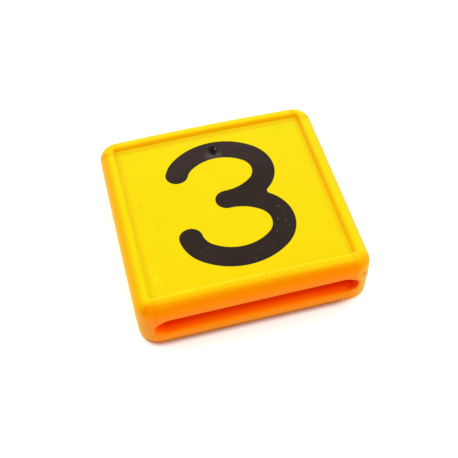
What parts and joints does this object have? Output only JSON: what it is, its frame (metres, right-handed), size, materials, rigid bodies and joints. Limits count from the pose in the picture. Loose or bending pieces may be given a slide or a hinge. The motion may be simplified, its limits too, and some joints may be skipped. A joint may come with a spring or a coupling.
{
  "type": "collar number tag",
  "caption": "Square moulded block with a recessed face, a numeral moulded flush into it, and a wide slot with rounded ends through which a neck strap passes.",
  "frame": {"origin": "middle of the flat back that the tag lies on", "axes": "+Z out of the numbered face, +Y towards the top of the numeral and along the strap slot, +X to the numeral's right"},
  "size_m": [0.049, 0.0486, 0.0131],
  "materials": {
    "yellow_moulding": "satin moulded yellow nylon",
    "black_moulding": "satin moulded black nylon"
  },
  "bodies": {
    "root": {"tag_body": "yellow_moulding", "numeral_three": "black_moulding"}
  },
  "joints": []
}
